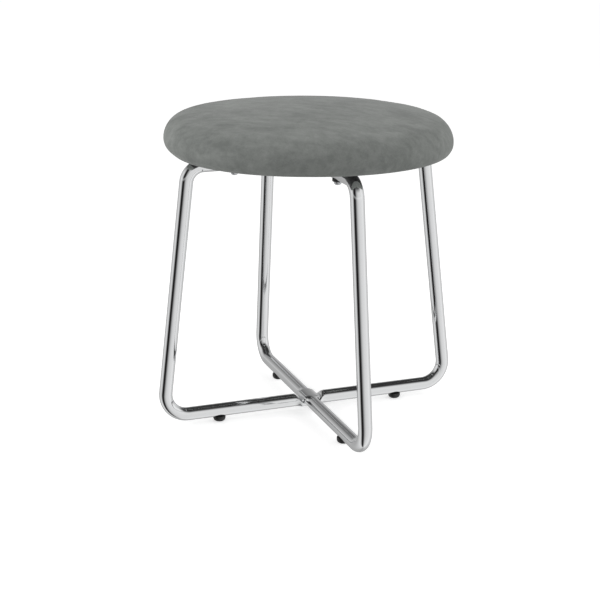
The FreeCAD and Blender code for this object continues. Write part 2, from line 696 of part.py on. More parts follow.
# Frame loops: one bent tube each, pressed half flat where it crosses the other.
def frame_loop(name, path, low_up, high_up, degrees):
    outside = rod(size(TUBE_RADIUS), path, low_up, high_up)
    bore = rod(size(TUBE_RADIUS + " - tube_wall"), path, low_up, high_up)
    tube = document.addObject("Part::Feature", name + "_tube")
    tube.Shape = outside.cut(bore)
    drills = []
    for side in (-1, 1):
        drills.append(cylinder("%s_bolt_drill_%d" % (name, side + 1), "bolt_hole_diameter / 2",
                               "2 * tube_diameter", "%d * bolt_reach" % side,
                               HIGH_BAR + " - tube_diameter"))
        drills.append(cylinder("%s_glide_drill_%d" % (name, side + 1), "glide_hole_diameter / 2",
                               "tube_diameter", "%d * glide_reach" % side,
                               LOW_BAR + " - tube_diameter"))
    drilling = document.addObject("Part::MultiFuse", name + "_drilling")
    drilling.Shapes = drills
    loop = document.addObject("Part::Cut", name)
    loop.Base = tube
    loop.Tool = drilling
    finish(loop, turned(degrees))
    return loop


# Welds: short fillets along both sides of the upper tube at a crossing.
def crossing_weld(name, height, degrees):
    beads = []
    for side in (-1, 1):
        bead = document.addObject("Part::Cylinder", "%s_bead_%d" % (name, side + 1))
        bead.setExpression("Radius", named("weld_radius"))
        bead.setExpression("Height", named("2 * (%s - weld_end_margin)" % PRESSED_HALF_WIDTH))
        reach = size(PRESSED_HALF_WIDTH)
        length = size("2 * (%s - weld_end_margin)" % PRESSED_HALF_WIDTH)
        start = Vector(-length / 2, side * reach, size(height + " + weld_radius / 2"))
        bead.Placement = turned(degrees).multiply(
            Placement(start, Rotation(Vector(0, 1, 0), 90)))
        beads.append(bead)
    pair = document.addObject("Part::MultiFuse", name + "_beads")
    pair.Shapes = beads
    both = document.addObject("Part::MultiFuse", name + "_tubes")
    both.Shapes = loops
    weld = document.addObject("Part::Cut", name)
    weld.Base = pair
    weld.Tool = both
    finish(weld, Placement())


seat_cover()
cushion_foam()
seat_board()
dust_cover()
staples("cover_staples", COVER_STAPLE_RADIUS, HEM_BOTTOM, BOARD_BOTTOM + " + staple_leg",
        COVER_STAPLES)
staples("dust_cover_staples", DUST_STAPLE_RADIUS, DUST_BOTTOM + " - staple_wire",
        BOARD_BOTTOM + " + staple_leg", DUST_COVER_STAPLES)
tee_nuts()
seat_bolts()
lock_washers()
saddle_washers()
for name, quarter in (("back_right", 0), ("back_left", 90), ("front_left", 180),
                      ("front_right", 270)):
    glide("glide_" + name, LOOP_TURN + quarter)
path_owner, path_sketch = loop_path()
document.recompute()
path_wire = path_sketch.Shape.Wires[0]
loops = [frame_loop("outer_frame_loop", path_wire, -1, 1, LOOP_TURN),
         frame_loop("inner_frame_loop", path_wire, 1, -1, LOOP_TURN + 90)]
document.recompute()
crossing_weld("lower_crossing_weld", LOW_BAR, LOOP_TURN + 90)
crossing_weld("upper_crossing_weld", HIGH_BAR, LOOP_TURN)
document.recompute()

for item in document.Objects:
    if "Invalid" in item.State or "Error" in item.State:
        raise RuntimeError("%s did not build: %s" % (item.Name, item.State))

os.makedirs("parts", exist_ok=True)
for piece in finished:
    shape = piece.Shape
    if shape.isNull() or not shape.isValid() or not shape.Solids:
        raise RuntimeError(piece.Label + " has no valid solid")
    shape.exportStep("parts/%s.step" % piece.Label)
    print("%-22s %3d solids  %12.1f mm3" % (piece.Label, len(shape.Solids), shape.Volume))
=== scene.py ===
# %% [markdown]
# # A vanity stool in velvet and chrome
# The stool is a thick round cushion on two closed loops of bent, chromed tube. The loops
# cross under the seat and again near the floor, where each tube is pressed to half its
# height so that both lie in one plane. The construction comes ready made as a frame of
# named pieces. This lesson gives it smooth chrome, a padded velvet cushion, the finishes
# of the hidden side, and a plain studio.

# %% Load the frame
import bmesh
import bpy
import math
from mathutils import Euler, Matrix, Vector


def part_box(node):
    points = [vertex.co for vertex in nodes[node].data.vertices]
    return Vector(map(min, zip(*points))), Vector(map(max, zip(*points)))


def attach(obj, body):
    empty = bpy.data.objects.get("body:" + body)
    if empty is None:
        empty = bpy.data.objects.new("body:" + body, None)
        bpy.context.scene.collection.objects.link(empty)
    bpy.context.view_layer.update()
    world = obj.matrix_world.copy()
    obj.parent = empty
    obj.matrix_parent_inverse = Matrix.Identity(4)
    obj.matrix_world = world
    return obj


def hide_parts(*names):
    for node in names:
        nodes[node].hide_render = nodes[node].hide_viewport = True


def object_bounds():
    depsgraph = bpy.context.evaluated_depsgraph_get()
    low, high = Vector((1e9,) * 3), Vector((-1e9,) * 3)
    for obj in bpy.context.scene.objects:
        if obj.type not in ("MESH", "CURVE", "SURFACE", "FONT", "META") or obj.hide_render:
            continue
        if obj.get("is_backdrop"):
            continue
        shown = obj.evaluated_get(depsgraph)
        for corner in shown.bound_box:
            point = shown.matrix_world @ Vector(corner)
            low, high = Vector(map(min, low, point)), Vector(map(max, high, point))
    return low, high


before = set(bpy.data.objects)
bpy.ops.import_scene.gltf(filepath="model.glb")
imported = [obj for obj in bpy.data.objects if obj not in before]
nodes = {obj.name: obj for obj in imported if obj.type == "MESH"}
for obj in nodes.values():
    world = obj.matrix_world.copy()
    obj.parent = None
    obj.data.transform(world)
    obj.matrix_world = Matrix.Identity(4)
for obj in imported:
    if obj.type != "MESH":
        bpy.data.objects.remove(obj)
cad_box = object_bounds()
print("frame:", len(nodes), "nodes")

# %% [markdown]
# ## Shader sums as plain sums
# A material is a small graph of nodes. Written one node at a time it is hard to read, so
# a socket is wrapped in a class that knows plus, minus, times and divide. An expression
# such as `1 - grain * 0.2` then adds its own Math nodes.

# %% A socket that can be used in sums


class Value:
    """One output socket that can be used in sums."""

    def __init__(self, finish, socket):
        self.finish = finish
        self.socket = socket

    def other(self, name):
        """Another output of the same node."""
        return Value(self.finish, self.socket.node.outputs[name])

    def sum(self, operation, first, second):
        return self.finish.node("ShaderNodeMath", {"operation": operation},
                                {0: first, 1: second})

    def __add__(self, other):
        return self.sum("ADD", self, other)

    __radd__ = __add__

    def __sub__(self, other):
        return self.sum("SUBTRACT", self, other)

    def __rsub__(self, other):
        return self.sum("SUBTRACT", other, self)

    def __mul__(self, other):
        return self.sum("MULTIPLY", self, other)

    __rmul__ = __mul__

    def __truediv__(self, other):
        return self.sum("DIVIDE", self, other)


print("sums ready")

# %% [markdown]
# ## One method for every other node
# Every other kind of node comes from one method, which takes the node's type, its
# settings and what goes into its sockets. The short methods after it only name the few
# nodes that each finish needs: noise, a colour ramp, a stretch of a value's range, and a
# mix of two colours. Patterns are laid out in the piece's own coordinates, so they stay
# on the piece.

# %% Finishes
COLOR_A, COLOR_B, MIXED_COLOR = 6, 7, 2


class Finish:
    """A node tree that is built by calls to node()."""

    def __init__(self, tree):
        self.tree = tree
        self.tree.nodes.clear()

    def node(self, kind, settings=None, inputs=None, output=0):
        node = self.tree.nodes.new(kind)
        for name, setting in (settings or {}).items():
            if name == "stops":
                self.set_stops(node.color_ramp, setting)
            else:
                setattr(node, name, setting)
        for name, given in (inputs or {}).items():
            if isinstance(given, Value):
                self.tree.links.new(given.socket, node.inputs[name])
            else:
                node.inputs[name].default_value = given
        return Value(self, node.outputs[output]) if node.outputs else node

    def set_stops(self, ramp, stops):
        while len(ramp.elements) < len(stops):
            ramp.elements.new(1.0)
        for element, (position, color) in zip(ramp.elements, stops):
            element.position = position
            element.color = color

    def noise(self, place, scale, detail=2.0, roughness=0.5, distortion=0.0):
        return self.node("ShaderNodeTexNoise", None,
                         {"Vector": place, "Scale": scale, "Detail": detail,
                          "Roughness": roughness, "Distortion": distortion})

    def stretched_noise(self, place, stretch, **settings):
        """Noise whose grain is long in the directions of small stretch."""
        stretched = self.node("ShaderNodeMapping", None, {"Vector": place, "Scale": stretch})
        return self.noise(stretched, 1.0, **settings)

    def between(self, factor, low, high):
        """The factor's run from low to high, spread over 0 to 1."""
        return self.node("ShaderNodeMapRange", {"clamp": True},
                         {"Value": factor, "From Min": low, "From Max": high})

    def mix(self, factor, first, second):
        return self.node("ShaderNodeMix", {"data_type": "RGBA"},
                         {"Factor": factor, COLOR_A: first, COLOR_B: second},
                         output=MIXED_COLOR)

    def bump(self, height, strength, distance):
        return self.node("ShaderNodeBump", None,
                         {"Height": height, "Strength": strength, "Distance": distance})

    def place(self):
        """Where a point lies on its own piece, in metres."""
        return self.node("ShaderNodeTexCoord", output="Object")

    def surface(self, constants, varying):
        """One Principled surface: constants on its own sockets, varying inputs as links."""
        shader = self.node("ShaderNodeBsdfPrincipled", None, {**constants, **varying})
        self.node("ShaderNodeOutputMaterial", None, {"Surface": shader})


def new_material(name):
    material = bpy.data.materials.new(name)
    material.use_nodes = True
    return material, Finish(material.node_tree)


def grey(level):
    return (level, level, level, 1.0)


print("finish helpers ready")

# %% [markdown]
# ## Velvet
# Short-pile velvet is matt, but its fibres catch light at a slant, so it lightens towards
# the edge of a curve: that is the sheen. Where the nap has been brushed another way it
# shows in soft patches a few centimetres across, in longer smears and in small rubs. Each
# of these is a noise of its own size, and a fast one makes the fibre ends, in the colour
# and in the bump alike. A picture of cloth would repeat, and noise doesn't.

# %% Velvet material
VELVET_SHADE = (0.157, 0.167, 0.158, 1.0)
VELVET_LIGHT = (0.238, 0.250, 0.237, 1.0)
NAP_RANGE = (0.41, 0.59)
SMEAR_STRETCH = (34.0, 80.0, 60.0)


def velvet():
    material, finish = new_material("grey_velvet")
    place = finish.place()
    patches = finish.noise(place, 14.0, detail=3.0, roughness=0.55, distortion=0.6)
    smears = finish.stretched_noise(place, SMEAR_STRETCH, detail=3.0, roughness=0.6,
                                    distortion=0.4)
    rubs = finish.noise(place, 150.0, detail=4.0, roughness=0.7, distortion=0.3)
    fibres = finish.noise(place, 900.0, roughness=0.6)
    nap = patches * 0.36 + smears * 0.28 + rubs * 0.2 + fibres * 0.16
    color = finish.mix(finish.between(nap, *NAP_RANGE), VELVET_SHADE, VELVET_LIGHT)
    pile = finish.noise(place, 900.0, detail=4.0, roughness=0.65) * 0.6 + smears * 0.4
    finish.surface({"Sheen Weight": 0.2, "Sheen Roughness": 0.38, "Sheen Tint": grey(0.8),
                    "Specular IOR Level": 0.15},
                   {"Base Color": color, "Roughness": 0.82 + fibres * 0.15,
                    "Normal": finish.bump(pile, strength=0.35, distance=0.0006)})
    return material


VELVET = velvet()
print("velvet:", len(VELVET.node_tree.nodes), "nodes")

# %% [markdown]
# ## Chrome
# Polished chrome is a mirror with a faint blue-grey cast. What it shows is the room, so
# its own nodes have little to do: a very slight clouding from handling, which also makes
# it a little rougher, and specks so fine that they hardly bend the reflections.

# %% Chrome material
CHROME_SHADE = (0.86, 0.87, 0.88, 1.0)
CHROME_LIGHT = (0.92, 0.925, 0.93, 1.0)


def chrome():
    material, finish = new_material("polished_chrome")
    place = finish.place()
    handling = finish.noise(place, 22.0, detail=4.0, roughness=0.6)
    specks = finish.noise(place, 700.0)
    unevenness = handling * 0.7 + specks * 0.02
    finish.surface({"Metallic": 1.0},
                   {"Base Color": finish.mix(handling, CHROME_SHADE, CHROME_LIGHT),
                    "Roughness": 0.035 + handling * 0.05,
                    "Normal": finish.bump(unevenness, strength=0.02, distance=0.0008)})
    return material


CHROME = chrome()
print("chrome:", len(CHROME.node_tree.nodes), "nodes")

# %% [markdown]
# ## Moulded plastic
# The glides and the saddle washers are black mouldings. A moulding shows a fine, even
# grain from its tool and goes paler and duller where it has rubbed, so one fast noise
# makes the grain and one slow noise the wear. One function makes both: they differ only
# in how black they are.

# %% Plastic materials
WORN_PALER = 2.2


def moulded_plastic(name, level):
    material, finish = new_material(name)
    place = finish.place()
    grain = finish.noise(place, 2600.0, roughness=0.6)
    wear = finish.noise(place, 120.0, detail=3.0, roughness=0.6)
    color = finish.mix(finish.between(wear, 0.45, 0.75), grey(level), grey(level * WORN_PALER))
    finish.surface({"Specular IOR Level": 0.5},
                   {"Base Color": color, "Roughness": 0.32 + wear * 0.25,
                    "Normal": finish.bump(grain, strength=0.25, distance=0.0002)})
    return material


PLASTIC = moulded_plastic("satin_plastic", 0.014)
NYLON = moulded_plastic("matt_nylon", 0.02)
print("plastics:", PLASTIC.name, NYLON.name)

# %% [markdown]
# ## Zinc
# The nuts, screws, washers and staples are bright zinc. Its crystals show as faint cells
# with a cloudy shine, so a cell pattern goes into the bump and a noise into the colour
# and the roughness.

# %% Zinc material
ZINC_SHADE = (0.55, 0.56, 0.58, 1.0)
ZINC_LIGHT = (0.74, 0.75, 0.76, 1.0)


def bright_zinc():
    material, finish = new_material("bright_zinc")
    place = finish.place()
    spangle = finish.node("ShaderNodeTexVoronoi", None, {"Vector": place, "Scale": 900.0})
    cloud = finish.noise(place, 260.0, detail=3.0, roughness=0.6)
    finish.surface({"Metallic": 1.0},
                   {"Base Color": finish.mix(cloud, ZINC_SHADE, ZINC_LIGHT),
                    "Roughness": 0.22 + cloud * 0.25,
                    "Normal": finish.bump(spangle, strength=0.15, distance=0.0002)})
    return material


ZINC = bright_zinc()
print("zinc:", len(ZINC.node_tree.nodes), "nodes")

# %% [markdown]
# ## Dust cover cloth
# The dust cover is a thin non-woven cloth: loose fibres welded together in rows of dots
# by a heated roller. The rows come from a cell pattern with little randomness, and a
# twisted noise lays the fibres over them.

# %% Dust cover material
CLOTH_SHADE = grey(0.012)
CLOTH_LIGHT = grey(0.035)


def non_woven():
    material, finish = new_material("non_woven_cloth")
    place = finish.place()
    dots = finish.node("ShaderNodeTexVoronoi", {"feature": "F1"},
                       {"Vector": place, "Scale": 520.0, "Randomness": 0.15})
    fibres = finish.noise(place, 1500.0, detail=4.0, roughness=0.7, distortion=1.5)
    color = finish.mix(finish.between(dots, 0.15, 0.5), CLOTH_SHADE, CLOTH_LIGHT)
    finish.surface({"Specular IOR Level": 0.2, "Sheen Weight": 0.1},
                   {"Base Color": color, "Roughness": 0.75 + fibres * 0.2,
                    "Normal": finish.bump(dots * 0.7 + fibres * 0.5, strength=0.5,
                                          distance=0.0003)})
    return material


CLOTH = non_woven()
print("dust cover:", len(CLOTH.node_tree.nodes), "nodes")

# %% [markdown]
# ## Plywood
# The board is raw plywood: long grain on its faces and thin plies at its edge. The grain
# is a noise stretched along one direction, and the plies are bands stacked upwards, where
# the darkest band is the glue between two plies.

# %% Plywood material
GRAIN_SHADE = (0.42, 0.27, 0.13, 1.0)
GRAIN_LIGHT = (0.66, 0.48, 0.28, 1.0)
GLUE_LINE = (0.3, 0.18, 0.09, 1.0)
GLUE_SHARE = 0.35
GRAIN_STRETCH = (14.0, 160.0, 160.0)


def plywood():
    material, finish = new_material("raw_plywood")
    place = finish.place()
    grain = finish.stretched_noise(place, GRAIN_STRETCH, detail=5.0, roughness=0.6,
                                   distortion=1.2)
    plies = finish.node("ShaderNodeTexWave", {"bands_direction": "Z"},
                        {"Vector": place, "Scale": 130.0, "Distortion": 0.4})
    face = finish.mix(grain, GRAIN_SHADE, GRAIN_LIGHT)
    color = finish.mix(finish.between(plies, 0.7, 1.0) * GLUE_SHARE, face, GLUE_LINE)
    finish.surface({"Specular IOR Level": 0.3},
                   {"Base Color": color, "Roughness": 0.6 + grain * 0.25,
                    "Normal": finish.bump(grain, strength=0.3, distance=0.0004)})
    return material


PLYWOOD = plywood()
print("plywood:", len(PLYWOOD.node_tree.nodes), "nodes")

# %% [markdown]
# ## Dress the pieces that keep their shape
# The construction's own meshes are right for everything but the tubes and the cushion,
# so those pieces keep them and only change their finish.

# %% Give each kept piece its finish
KEPT = {PLASTIC: ["glide_back_right", "glide_back_left", "glide_front_left",
                  "glide_front_right"],
        NYLON: ["saddle_washers"],
        ZINC: ["cover_staples", "dust_cover_staples", "tee_nuts", "seat_bolts",
               "lock_washers"],
        CLOTH: ["dust_cover"],
        PLYWOOD: ["seat_board"],
        CHROME: ["lower_crossing_weld", "upper_crossing_weld"]}
for material, names in KEPT.items():
    for name in names:
        nodes[name].data.materials.clear()
        nodes[name].data.materials.append(material)
print("dressed:", sum(len(names) for names in KEPT.values()), "nodes")

# %% [markdown]
# ## New pieces
# A new piece takes the place of the solids that it stands for. It rides on the stool's
# one body and names the finish that it is made of. Its faces are shaded smooth, because
# every new piece here is curved all over.

# %% Add a piece
MERGE_DISTANCE = 1e-6


def add_piece(name, mesh, material, replaced):
    data = bpy.data.meshes.new(name)
    for face in mesh.faces:
        face.smooth = True
    mesh.to_mesh(data)
    mesh.free()
    piece = bpy.data.objects.new(name, data)
    bpy.context.scene.collection.objects.link(piece)
    data.materials.append(material)
    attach(piece, "root")
    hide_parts(*replaced)
    return piece


print("ready to add pieces")

# %% [markdown]
# ## The bent tubes
# The frame is steel tube 19 mm across, bent cold and then plated. A mirror shows every
# facet, so the chrome tubes are drawn again, smoother than the construction needs. Their
# sizes are the construction's own: the two bars' heights, how far the feet reach, how
# much the legs splay, and the bends' radii along the tube's middle.

# %% Sizes of the frame, in metres
TUBE_RADIUS = 0.009525
LOW_BAR = 0.016025
HIGH_BAR = 0.376075
FOOT_REACH = 0.221
LEG_SPLAY = math.radians(7.05)
FOOT_BEND = 0.0325
SEAT_BEND = 0.025
LOOP_TURN = math.radians(45)
print("tube: %.2f mm across, bars %.1f mm apart"
      % (2000 * TUBE_RADIUS, 1000 * (HIGH_BAR - LOW_BAR)))

# %% [markdown]
# A tube is a ring that travels: along a straight run it is extruded, and round a bend it
# is spun about the bend's own centre. A curve with a round bevel would make a tube too,
# but the pressed crossing needs its own rings, set close together. A short step at each
# end of a run keeps the run truly straight in the reflections.

# %% A ring that travels
RUN_EASE = 0.004
BEND_STEPS = 20


def advance(mesh, ring, step):
    """Extrude the open ring by one step and return its new edge loop."""
    made = bmesh.ops.extrude_edge_only(mesh, edges=ring)["geom"]
    points = [item for item in made if isinstance(item, bmesh.types.BMVert)]
    bmesh.ops.translate(mesh, verts=points, vec=step)
    return [item for item in made if isinstance(item, bmesh.types.BMEdge)
            and item.verts[0] in points and item.verts[1] in points]


def run(mesh, ring, start, end, steps):
    """A straight run with a short step at each end; returns the last ring."""
    way = end - start
    ease = way.normalized() * RUN_EASE
    ring = advance(mesh, ring, ease)
    for _ in range(steps):
        ring = advance(mesh, ring, (way - 2 * ease) / steps)
    return advance(mesh, ring, ease)


def bend(mesh, ring, centre, angle):
    """Spin the ring about a level axis through the bend's centre."""
    made = bmesh.ops.spin(mesh, geom=ring, cent=centre, axis=(0, -1, 0), angle=angle,
                          steps=BEND_STEPS, use_duplicate=False)["geom_last"]
    return [item for item in made if isinstance(item, bmesh.types.BMEdge)]


print("a bend takes", BEND_STEPS, "steps")

# %% [markdown]
# ## The pressed crossing
# Where the loops cross, each tube is pressed flat to half its height, so both bars lie
# in one plane. The metal has to go somewhere, so the pressed stretch is a little wider.
# Its face is nearly flat and its back stays round: both are the same kind of curve, a
# circle whose power is raised. The ramp beside it is drawn shorter than the
# construction's, as short as it is on the real stool.

# %% Press a point of the tube
PRESS_SPREAD = 0.0027
PRESS_FLAT = 0.013025
PRESS_RAMP = 0.009
HALF_GAP = 0.00005
BACK_FULLNESS = 0.5
FACE_FULLNESS = 3.0


def signed_power(number, power):
    return math.copysign(abs(number) ** power, number)


def smooth_step(number, low, high):
    share = min(max((number - low) / (high - low), 0.0), 1.0)
    return share * share * (3 - 2 * share)


def press(point, bar, up):
    """Where a point of the round tube goes once the bar is pressed near its middle."""
    share = smooth_step(PRESS_FLAT + PRESS_RAMP - abs(point.x), 0.0, PRESS_RAMP)
    across = point.y / TUBE_RADIUS
    along = up * (point.z - bar) / TUBE_RADIUS
    rise = share * (TUBE_RADIUS + HALF_GAP)
    middle = rise / 2
    fullness = 2 + share * (BACK_FULLNESS if along >= 0 else FACE_FULLNESS)
    depth = TUBE_RADIUS - middle
    half_width = TUBE_RADIUS + share * PRESS_SPREAD
    return Vector((point.x, half_width * signed_power(across, 2 / fullness),
                   bar + up * (middle + depth * signed_power(along, 2 / fullness))))


print("pressed height: %.2f mm" % (1000 * (TUBE_RADIUS - HALF_GAP)))

# %% [markdown]
# ## The two loops
# Half a loop is enough, because the other half is its mirror: from the middle of the
# lower bar, round the foot's bend, up the leg, round the seat's bend and back to the
# middle. The points near each crossing are then pressed. One loop is pressed from above
# at the floor and from below at the seat, the other the other way round, so one sits
# inside the other.

# %% Build the loops
RING_POINTS = 48
PRESS_STEPS = 16
BAR_STEPS = 3
LEG_STEPS = 6


def bent_loop(name, node, turn, low_up, high_up):
    mesh = bmesh.new()
    upright = Matrix.Translation((0, 0, LOW_BAR)) @ Matrix.Rotation(math.radians(90), 4, "Y")
    bmesh.ops.create_circle(mesh, segments=RING_POINTS, radius=TUBE_RADIUS, matrix=upright)
    ring = list(mesh.edges)
    head_reach = FOOT_REACH - (HIGH_BAR - LOW_BAR) * math.tan(LEG_SPLAY)
    foot_tangent = FOOT_BEND * math.tan((math.pi / 2 + LEG_SPLAY) / 2)
    seat_tangent = SEAT_BEND * math.tan((math.pi / 2 - LEG_SPLAY) / 2)
    up = Vector((-math.sin(LEG_SPLAY), 0, math.cos(LEG_SPLAY)))
    middle = Vector((0, 0, LOW_BAR))
    foot_start = Vector((FOOT_REACH - foot_tangent, 0, LOW_BAR))
    leg_start = Vector((FOOT_REACH, 0, LOW_BAR)) + up * foot_tangent
    leg_end = Vector((head_reach, 0, HIGH_BAR)) - up * seat_tangent
    seat_end = Vector((head_reach - seat_tangent, 0, HIGH_BAR))
    top = Vector((0, 0, HIGH_BAR))
    pressed = Vector((PRESS_FLAT + PRESS_RAMP, 0, 0))
    ring = run(mesh, ring, middle, middle + pressed, PRESS_STEPS)
    ring = run(mesh, ring, middle + pressed, foot_start, BAR_STEPS)
    ring = bend(mesh, ring, foot_start + Vector((0, 0, FOOT_BEND)), math.pi / 2 + LEG_SPLAY)
    ring = run(mesh, ring, leg_start, leg_end, LEG_STEPS)
    ring = bend(mesh, ring, seat_end - Vector((0, 0, SEAT_BEND)), math.pi / 2 - LEG_SPLAY)
    ring = run(mesh, ring, seat_end, top + pressed, BAR_STEPS)
    run(mesh, ring, top + pressed, top, PRESS_STEPS)
    for vertex in mesh.verts:
        for bar, side in ((LOW_BAR, low_up), (HIGH_BAR, high_up)):
            if vertex.co.x < pressed.x and abs(vertex.co.z - bar) < 2 * TUBE_RADIUS:
                vertex.co = press(vertex.co, bar, side)
    bmesh.ops.mirror(mesh, geom=list(mesh.verts) + list(mesh.edges) + list(mesh.faces),
                     axis="X", merge_dist=MERGE_DISTANCE)
    bmesh.ops.remove_doubles(mesh, verts=mesh.verts, dist=MERGE_DISTANCE)
    bmesh.ops.recalc_face_normals(mesh, faces=mesh.faces)
    bmesh.ops.rotate(mesh, verts=mesh.verts, cent=(0, 0, 0),
                     matrix=Matrix.Rotation(turn, 3, "Z"))
    return add_piece(name, mesh, CHROME, [node])


outer_loop = bent_loop("outer_chrome_loop", "outer_frame_loop", LOOP_TURN, -1, 1)
inner_loop = bent_loop("inner_chrome_loop", "inner_frame_loop",
                       LOOP_TURN + math.pi / 2, 1, -1)
for piece, node in ((outer_loop, "outer_frame_loop"), (inner_loop, "inner_frame_loop")):
    low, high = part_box(node)
    points = [vertex.co for vertex in piece.data.vertices]
    off = max(max(abs(min(p[i] for p in points) - low[i]),
                  abs(max(p[i] for p in points) - high[i])) for i in range(3))
    print(piece.name, len(piece.data.polygons), "faces, off its node by %.2f mm" % (off * 1000))

# %% [markdown]
# ## The cushion
# The real cushion is foam on a board, with velvet drawn over it and stapled underneath.
# Its side is three curves in a row: a wide dome, a round rim and a fuller lower edge that
# turns under to the hem. That side is drawn once and spun round, as on a lathe. The
# sculpting tools could make the same form, but not to the millimetre.

# %% Turn the cushion's form
SEAT_RADIUS = 0.2024
SEAT_TOP = 0.4520
HEM_BOTTOM = 0.3863
WAIST = 0.4052
RIM_RADIUS = 0.032
EDGE_REACH = 0.020
PROFILE_STEPS = 12
SPIN_STEPS = 160


def cushion_profile():
    """Points of the outer side, from the crown's middle to the middle underneath."""
    rise = SEAT_TOP - WAIST
    reach = SEAT_RADIUS - RIM_RADIUS
    crown = (reach ** 2 + rise ** 2 - RIM_RADIUS ** 2) / (2 * (rise - RIM_RADIUS))
    lean = math.atan2(crown - rise, reach)
    arcs = [(0, SEAT_TOP - crown, crown, crown, math.pi / 2, lean),
            (reach, WAIST, RIM_RADIUS, RIM_RADIUS, lean, 0),
            (SEAT_RADIUS - EDGE_REACH, WAIST, EDGE_REACH, WAIST - HEM_BOTTOM, 0, -math.pi / 2)]
    points = []
    for x, z, wide, tall, start, end in arcs:
        for step in range(PROFILE_STEPS + 1):
            angle = start + (end - start) * step / PROFILE_STEPS
            points.append(Vector((x + wide * math.cos(angle), 0, z + tall * math.sin(angle))))
    points[0].x = 0.0
    points.append(Vector((0, 0, HEM_BOTTOM)))
    return points


def spun(profile, steps):
    """Turn a profile in the XZ plane once round Z."""
    mesh = bmesh.new()
    first = [mesh.verts.new(point) for point in profile]
    edges = [mesh.edges.new(pair) for pair in zip(first, first[1:])]
    bmesh.ops.spin(mesh, geom=first + edges, cent=(0, 0, 0), axis=(0, 0, 1),
                   angle=2 * math.pi, steps=steps, use_merge=True, use_duplicate=False)
    bmesh.ops.remove_doubles(mesh, verts=mesh.verts, dist=MERGE_DISTANCE)
    bmesh.ops.recalc_face_normals(mesh, faces=mesh.faces)
    return mesh


form = spun(cushion_profile(), SPIN_STEPS)
print("turned form:", len(form.verts), "points")

# %% [markdown]
# A cushion that is filled and covered by hand is never a perfect turning. This one is a
# very little fuller on its diagonals than a circle, and it settles towards one end. The
# hem stays where the board holds it, so the change fades out towards the underside.

# %% Fill the form by hand
SQUARENESS = 2.1
LEAN_RIGHT = 0.016
SHIFT_RIGHT = -0.0010
HEM_HOLD = (0.187, 0.194)
HEM_FADE = 0.03
FILL_TURN = math.radians(25.0)


def hand_made(point):
    """Where a point of the turned form lies on a cushion that was filled by hand."""
    right = Vector((math.cos(FILL_TURN), math.sin(FILL_TURN), 0))
    away = Vector((-right.y, right.x, 0))
    u, v = point.dot(right), point.dot(away)
    radius = math.hypot(u, v)
    if radius < MERGE_DISTANCE:
        return point
    share = (radius / SEAT_RADIUS) ** 2
    over = abs(u / radius) ** SQUARENESS + abs(v / radius) ** SQUARENESS
    wider = 1 + (over ** (-1 / SQUARENESS) - 1) * share
    height = smooth_step(point.z, HEM_BOTTOM, HEM_BOTTOM + HEM_FADE)
    follow = height * share + (1 - height) * smooth_step(radius, *HEM_HOLD)
    moved = right * (u * wider + SHIFT_RIGHT * follow) + away * (v * wider)
    return Vector((moved.x, moved.y, point.z - LEAN_RIGHT * u * follow))


for vertex in form.verts:
    vertex.co = hand_made(vertex.co)
cushion = add_piece("velvet_cushion", form, VELVET, ["seat_cover", "cushion_foam"])
print("cushion form:", len(cushion.data.vertices), "points")

# %% [markdown]
# Modifiers do the next steps. Each is applied at once, so that no live modifier is left
# on the piece. The first one remeshes the skin to an even net, because cloth wrinkles
# along uneven faces.

# %% Remesh the skin
NET_SIZE = 0.005


def apply_modifiers(piece):
    """Put the evaluated mesh in place of the object's own."""
    graph = bpy.context.evaluated_depsgraph_get()
    done = bpy.data.meshes.new_from_object(piece.evaluated_get(graph))
    old = piece.data
    piece.modifiers.clear()
    piece.data = done
    done.name = piece.name
    bpy.data.meshes.remove(old)


def add_modifier(piece, kind, **settings):
    modifier = piece.modifiers.new(kind.lower(), kind)
    for name, setting in settings.items():
        setattr(modifier, name, setting)
    return modifier


add_modifier(cushion, "REMESH", mode="VOXEL", voxel_size=NET_SIZE, use_smooth_shade=True)
apply_modifiers(cushion)
print("cushion net:", len(cushion.data.vertices), "points")

# %% [markdown]
# Foam under tight cloth swells a little between its edges, so the skin is pressed
# outwards from within by a short cloth simulation. The form is already close to the real
# one, so the swell is slight: points of the underside are held, and no point may travel
# further than a set cap, in or out.

# %% Swell the cushion
CLOTH_SETTINGS = {"quality": 5, "mass": 0.3, "tension_stiffness": 15,
                  "compression_stiffness": 15, "bending_stiffness": 0.5,
                  "vertex_group_mass": "held", "use_pressure": True,
                  "uniform_pressure_force": 4.0}
LAST_FRAME = 20
SWELL_CAP = 0.0008
SINK_CAP = 0.0003
HELD_HEIGHT = 0.003
BOARD_TOP = 0.3996

rest = [vertex.co.copy() for vertex in cushion.data.vertices]
held = cushion.vertex_groups.new(name="held")
held.add([index for index, point in enumerate(rest)
          if point.z < HEM_BOTTOM + HELD_HEIGHT], 1.0, "REPLACE")
cloth = add_modifier(cushion, "CLOTH")
for name, setting in CLOTH_SETTINGS.items():
    setattr(cloth.settings, name, setting)
cloth.settings.effector_weights.gravity = 0.0
cloth.collision_settings.use_collision = False
for number in range(1, LAST_FRAME + 1):
    bpy.context.scene.frame_set(number)
apply_modifiers(cushion)
bpy.context.scene.frame_set(1)
for vertex, start in zip(cushion.data.vertices, rest):
    move = vertex.co - start
    inwards = move.dot(start - Vector((0, 0, BOARD_TOP))) < 0
    cap = SINK_CAP if inwards else SWELL_CAP
    if move.length > cap:
        vertex.co = start + move.normalized() * cap
moved = [(vertex.co - start).length for vertex, start in zip(cushion.data.vertices, rest)]
print("cloth moved up to %.1f mm, %.1f mm on average"
      % (max(moved) * 1000, sum(moved) / len(moved) * 1000))

# %% [markdown]
# The underside comes after the swell: the board's place is cut out of the form, which
# leaves the turned-under hem as a thin skin. A fine subdivision goes before the cut. The
# cutter is spun like the cushion was, from the profile of the board and of the opening
# inside the hem, a hair wider than the board so that no two faces lie in one plane.

